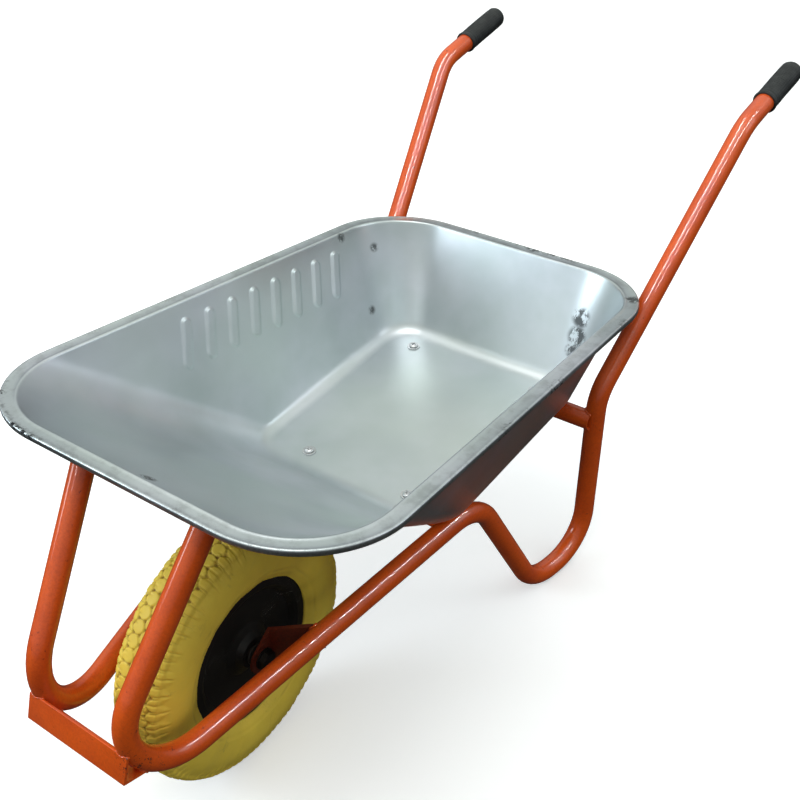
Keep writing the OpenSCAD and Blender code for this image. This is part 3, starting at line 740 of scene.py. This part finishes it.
def tyre_surface():
    """Rows of points around the tyre, from bead to bead and back under the rim, and a mask of
    painted groove shade.
    """
    profile = tyre_profile()
    radius, across = profile[:, 0][:, None], profile[:, 1][:, None]
    slope = np.gradient(profile, axis=0)
    normal = unit(np.stack([-slope[:, 1], slope[:, 0]], 1))
    normal *= np.sign((normal @ [1.0, 0.0]).sum())
    angle = (np.arange(AROUND) * 2 * math.pi / AROUND)[None, :]

    def around(scale):
        return [np.cos(angle) * scale, np.sin(angle) * scale]

    a = angle * WHEEL_R
    blocks, grooves = tread(a, across + 0 * a)
    rib = np.abs(np.sin(a / PITCH * 1.5 * math.pi))
    shoulder = smooth(0.166, 0.178, radius) * smooth(0.1945, 0.1925, radius)
    ragged = smooth(-0.4, 0.9, wave(np.stack(around(24), -1), 8) + 100 * (radius - 0.175))
    ribs = shoulder * ragged * smooth(0.2, 0.6, rib)
    ring = bump_at(radius, RING_R, RING_W) - 0.6 * bump_at(radius, 0.132, 0.002)
    lumps = wave(np.stack(np.broadcast_arrays(*around(14), across * 110), -1), 5)
    lift = TREAD_DEPTH * blocks + RIB_RELIEF * ribs - RING_DEPTH * ring + LUMP * lumps
    r = radius + normal[:, 0][:, None] * lift
    x = across + normal[:, 1][:, None] * lift
    r = np.minimum(r, WHEEL_R)
    rows = np.stack([x, AXLE[1] + r * np.cos(angle), AXLE[2] + r * np.sin(angle)], -1)
    inner_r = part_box("rim_half_right")[1].z - AXLE[2] - BEAD_FOOT
    inner = [np.stack([side * BEAD_X + 0 * angle[0], AXLE[1] + rr * np.cos(angle[0]),
                       AXLE[2] + rr * np.sin(angle[0])], -1)
             for side, rr in ((-1, BEAD_R), (-1, inner_r), (1, inner_r), (1, BEAD_R))]
    # Mask of painted shade: the tread grooves near the crown, the dips between the shoulder ribs
    # and, in patches, the sidewall ring; 1 under the rim.
    patchy = smooth(-0.7, 0.7, wave(np.stack(around(9), -1), 12))
    worn_and_groove_shade = np.maximum(grooves * smooth(0.186, 0.19, radius),
                      shoulder * smooth(0.3, 0.1, rib) * ragged * 0.35)
    worn_and_groove_shade = np.maximum(worn_and_groove_shade, 0.35 * patchy * bump_at(radius, RING_R, RING_W))
    return np.concatenate([rows, inner]), np.concatenate([worn_and_groove_shade, np.ones((4, AROUND))])


rows, worn_and_groove_shade = tyre_surface()
add_mesh("tyre_casing", rows.reshape(-1, 3), grid_faces(len(rows), AROUND, lengthwise=True),
         "wheel", YELLOW, ["tyre"], worn_and_groove_shade.ravel())


# ---------------------------------------------------------------- grips

GRIP_COLUMNS, GRIP_FLUTES, GRIP_PITCH, GRIP_RELIEF = 168, 28, 0.0052, 0.0006
PIN_TO_END = 0.058


def grip(name, mount, node):
    """Ribbed rubber sleeve with a closed rounded end and a collar."""
    axis = np.array(mount["axis"])
    end = np.array(mount["pos_m"]) + axis * PIN_TO_END
    r = mount["dims"]["r_mm"] / 1000
    bare = [(0.0001, 0.0), (0.006, 0.0001), (0.011, 0.0007), (0.0148, 0.0022),
            (0.0172, 0.0046), (0.0186, 0.0078), (0.0190, 0.0112)]
    bare += [(r, z) for z in np.arange(0.0126, 0.1105, 0.0011)]
    bare += [(r, 0.1112), (r + 0.0002, 0.1122), (r + 0.0006, 0.1134), (r + 0.0008, 0.115),
             (r + 0.0006, 0.1168), (r + 0.0001, 0.118), (r - 0.0028, 0.118), (0.015, 0.117)]
    points = np.array(bare)
    w = np.arange(GRIP_COLUMNS) * 2 * math.pi / GRIP_COLUMNS
    z = points[:, 1][:, None]
    zone = smooth(0.013, 0.018, z) * smooth(0.108, 0.103, z)
    rings = smooth(-0.1, 0.7, np.sin(z / GRIP_PITCH * 2 * math.pi))
    flutes = smooth(-0.6, 0.3, np.cos(w * GRIP_FLUTES)[None, :])
    lift = GRIP_RELIEF * zone * rings * flutes
    lift = lift + 0.0003 * zone * wave(np.stack(np.broadcast_arrays(
        np.cos(w)[None] * 3, np.sin(w)[None] * 3, z * 60), -1), 9)
    radius = points[:, 0][:, None] + lift
    radius = np.where((z > 0.011) & (z < 0.1115), radius - 0.0003, radius)
    side = unit(np.cross(axis, [0, 0, 1.0]))
    up = np.cross(side, axis)
    spot = (end - axis * z[..., None]
            + side * (radius * np.cos(w))[..., None] + up * (radius * np.sin(w))[..., None])
    faces = grid_faces(len(points), GRIP_COLUMNS).tolist()
    faces.append(list(range(GRIP_COLUMNS))[::-1])
    faces.append([(len(points) - 1) * GRIP_COLUMNS + k for k in range(GRIP_COLUMNS)])
    add_mesh(name, spot.reshape(-1, 3), faces, "frame", RUBBER, [node])


for mount in frame["record"]["mounts"]:
    if mount["name"].endswith("_grip"):
        side_name = mount["name"].split("_")[0]
        grip("sleeve_" + side_name, mount, "grip_" + side_name)


# ---------------------------------------------------------------- room

def room_piece(name, verts, faces, glow, specular, grain, light, dark):
    """A pale, softly glowing surface that reflections and bounce light don't see."""
    mesh = bpy.data.meshes.new(name)
    mesh.from_pydata(verts, [], faces)
    piece = bpy.data.objects.new(name, mesh)
    scene.collection.objects.link(piece)
    pale = Shader("pale_" + name, Roughness=0.9, Specular_IOR_Level=specular,
                  Emission_Strength=glow)
    pale.bsdf.inputs["Emission Color"].default_value = rgb(1.0, 1.0, 1.0)
    mesh.materials.append(pale.set(Base_Color=pale.mix(
        pale.noise(*grain), rgb(dark, dark, dark), rgb(light, light, light))))
    piece.visible_glossy = piece.visible_diffuse = False
    return piece


FLOOR_HALF, WALL_R, WALL_H, WALL_SIDES = 30, 24, 30, 48
square = [(-FLOOR_HALF, -FLOOR_HALF, 0), (FLOOR_HALF, -FLOOR_HALF, 0),
          (FLOOR_HALF, FLOOR_HALF, 0), (-FLOOR_HALF, FLOOR_HALF, 0)]
room_piece("floor", square, [(0, 1, 2, 3)], 0.35, 0.1, (3.0, 3.0), 0.92, 0.90)
w = np.arange(WALL_SIDES) * 2 * math.pi / WALL_SIDES
circle = np.stack([WALL_R * np.cos(w), WALL_R * np.sin(w)], 1).tolist()
wall = room_piece("wall", [(x, y, z) for z in (-0.01, WALL_H) for x, y in circle],
                  grid_faces(2, WALL_SIDES).tolist(), 1.0, 0.0, (0.3, 2.0), 0.88, 0.85)
wall.visible_shadow = False


# ---------------------------------------------------------------- light

SKY = [(0.0, (0.03, 0.028, 0.026)), (1.0, (0.80, 0.84, 0.84)),
       (0.47, (0.045, 0.044, 0.042)), (0.54, (0.30, 0.31, 0.34)),
       (0.64, (0.42, 0.44, 0.48)), (0.80, (0.86, 0.91, 0.84))]


def studio_world():
    """A bright ceiling over dim walls and a dark floor, by height of the direction."""
    world = bpy.data.worlds.new("studio")
    world.use_nodes = True
    tree = world.node_tree
    coords = tree.nodes.new("ShaderNodeTexCoord")
    split = tree.nodes.new("ShaderNodeSeparateXYZ")
    shade = tree.nodes.new("ShaderNodeValToRGB")
    lift_z = tree.nodes.new("ShaderNodeMapRange")
    lift_z.inputs["From Min"].default_value = -1.0
    tree.links.new(coords.outputs["Generated"], split.inputs[0])
    tree.links.new(split.outputs["Z"], lift_z.inputs["Value"])
    tree.links.new(lift_z.outputs[0], shade.inputs[0])
    tree.links.new(shade.outputs[0], tree.nodes["Background"].inputs["Color"])
    stops = shade.color_ramp.elements
    for stop, (place, colour) in zip(stops, SKY):
        stop.position, stop.color = place, rgb(*colour)
    for place, colour in SKY[2:]:
        stops.new(place).color = rgb(*colour)
    tree.nodes["Background"].inputs["Strength"].default_value = 1.0
    return world


def lamp(name, place, aim, size, power, colour=(1, 1, 1)):
    light = bpy.data.lights.new(name, "AREA")
    light.shape, light.size, light.size_y = "RECTANGLE", size[0], size[1]
    light.energy, light.color = power, colour
    made = bpy.data.objects.new(name, light)
    scene.collection.objects.link(made)
    made.location = place
    made.rotation_euler = (Vector(aim) - Vector(place)).to_track_quat("-Z", "Y").to_euler()
    return made


scene.world = studio_world()
lamp("overhead", (0.0, -0.5, 3.4), (0, 0.1, 0.3), (2.0, 2.0), 32, (1.0, 0.99, 0.97))
lamp("window_left", (-2.6, -2.2, 1.6), (0, -0.1, 0.3), (1.5, 1.5), 58, (0.80, 0.91, 1.0))
lamp("window_right", (2.4, 1.3, 1.9), (0, 0, 0.4), (1.3, 1.3), 10, (0.85, 0.93, 1.0))

# Two long thin tube lamps that only draw bright lines along the enamel
enamelled = bpy.data.collections.new("enamelled")
for piece in list(scene.objects):
    if piece.type == "MESH" and ORANGE.name in piece.data.materials:
        enamelled.objects.link(piece)
for tube in [lamp("ceiling_tube", (-0.4, -2.2, 3.0), (0.2, -2.2, 0.4), (7.0, 0.10), 260),
             lamp("side_tube", (2.0, 0.8, 3.2), (0.4, 0.8, 0.4), (5.5, 0.10), 200)]:
    tube.visible_diffuse = False
    tube.light_linking.receiver_collection = enamelled


# ---------------------------------------------------------------- camera

CAMERA_AT = Vector((0.8804, -1.2201, 1.4735))
YAW, PITCH_DOWN, ROLL = 0.6852, 0.6006, -0.0663
SENSOR_MM, LENS_MM, SHIFT = 36.0, 53.44, 0.0625


def studio_camera():
    """A camera turned by yaw and pitch about the barrow, with a slight roll."""
    back = Vector((math.sin(YAW) * math.cos(PITCH_DOWN),
                   -math.cos(YAW) * math.cos(PITCH_DOWN), math.sin(PITCH_DOWN)))
    level = Vector((math.cos(YAW), math.sin(YAW), 0))
    upright = back.cross(level)
    right = level * math.cos(ROLL) + upright * math.sin(ROLL)
    up = upright * math.cos(ROLL) - level * math.sin(ROLL)
    lens = bpy.data.cameras.new("camera")
    lens.sensor_width, lens.lens = SENSOR_MM, LENS_MM
    lens.shift_x, lens.shift_y = SHIFT, -SHIFT
    camera = bpy.data.objects.new("camera", lens)
    scene.collection.objects.link(camera)
    camera.matrix_world = Matrix((
        (right.x, up.x, back.x, CAMERA_AT.x), (right.y, up.y, back.y, CAMERA_AT.y),
        (right.z, up.z, back.z, CAMERA_AT.z), (0, 0, 0, 1)))
    return camera


scene.camera = studio_camera()
scene.view_settings.view_transform = "Standard"
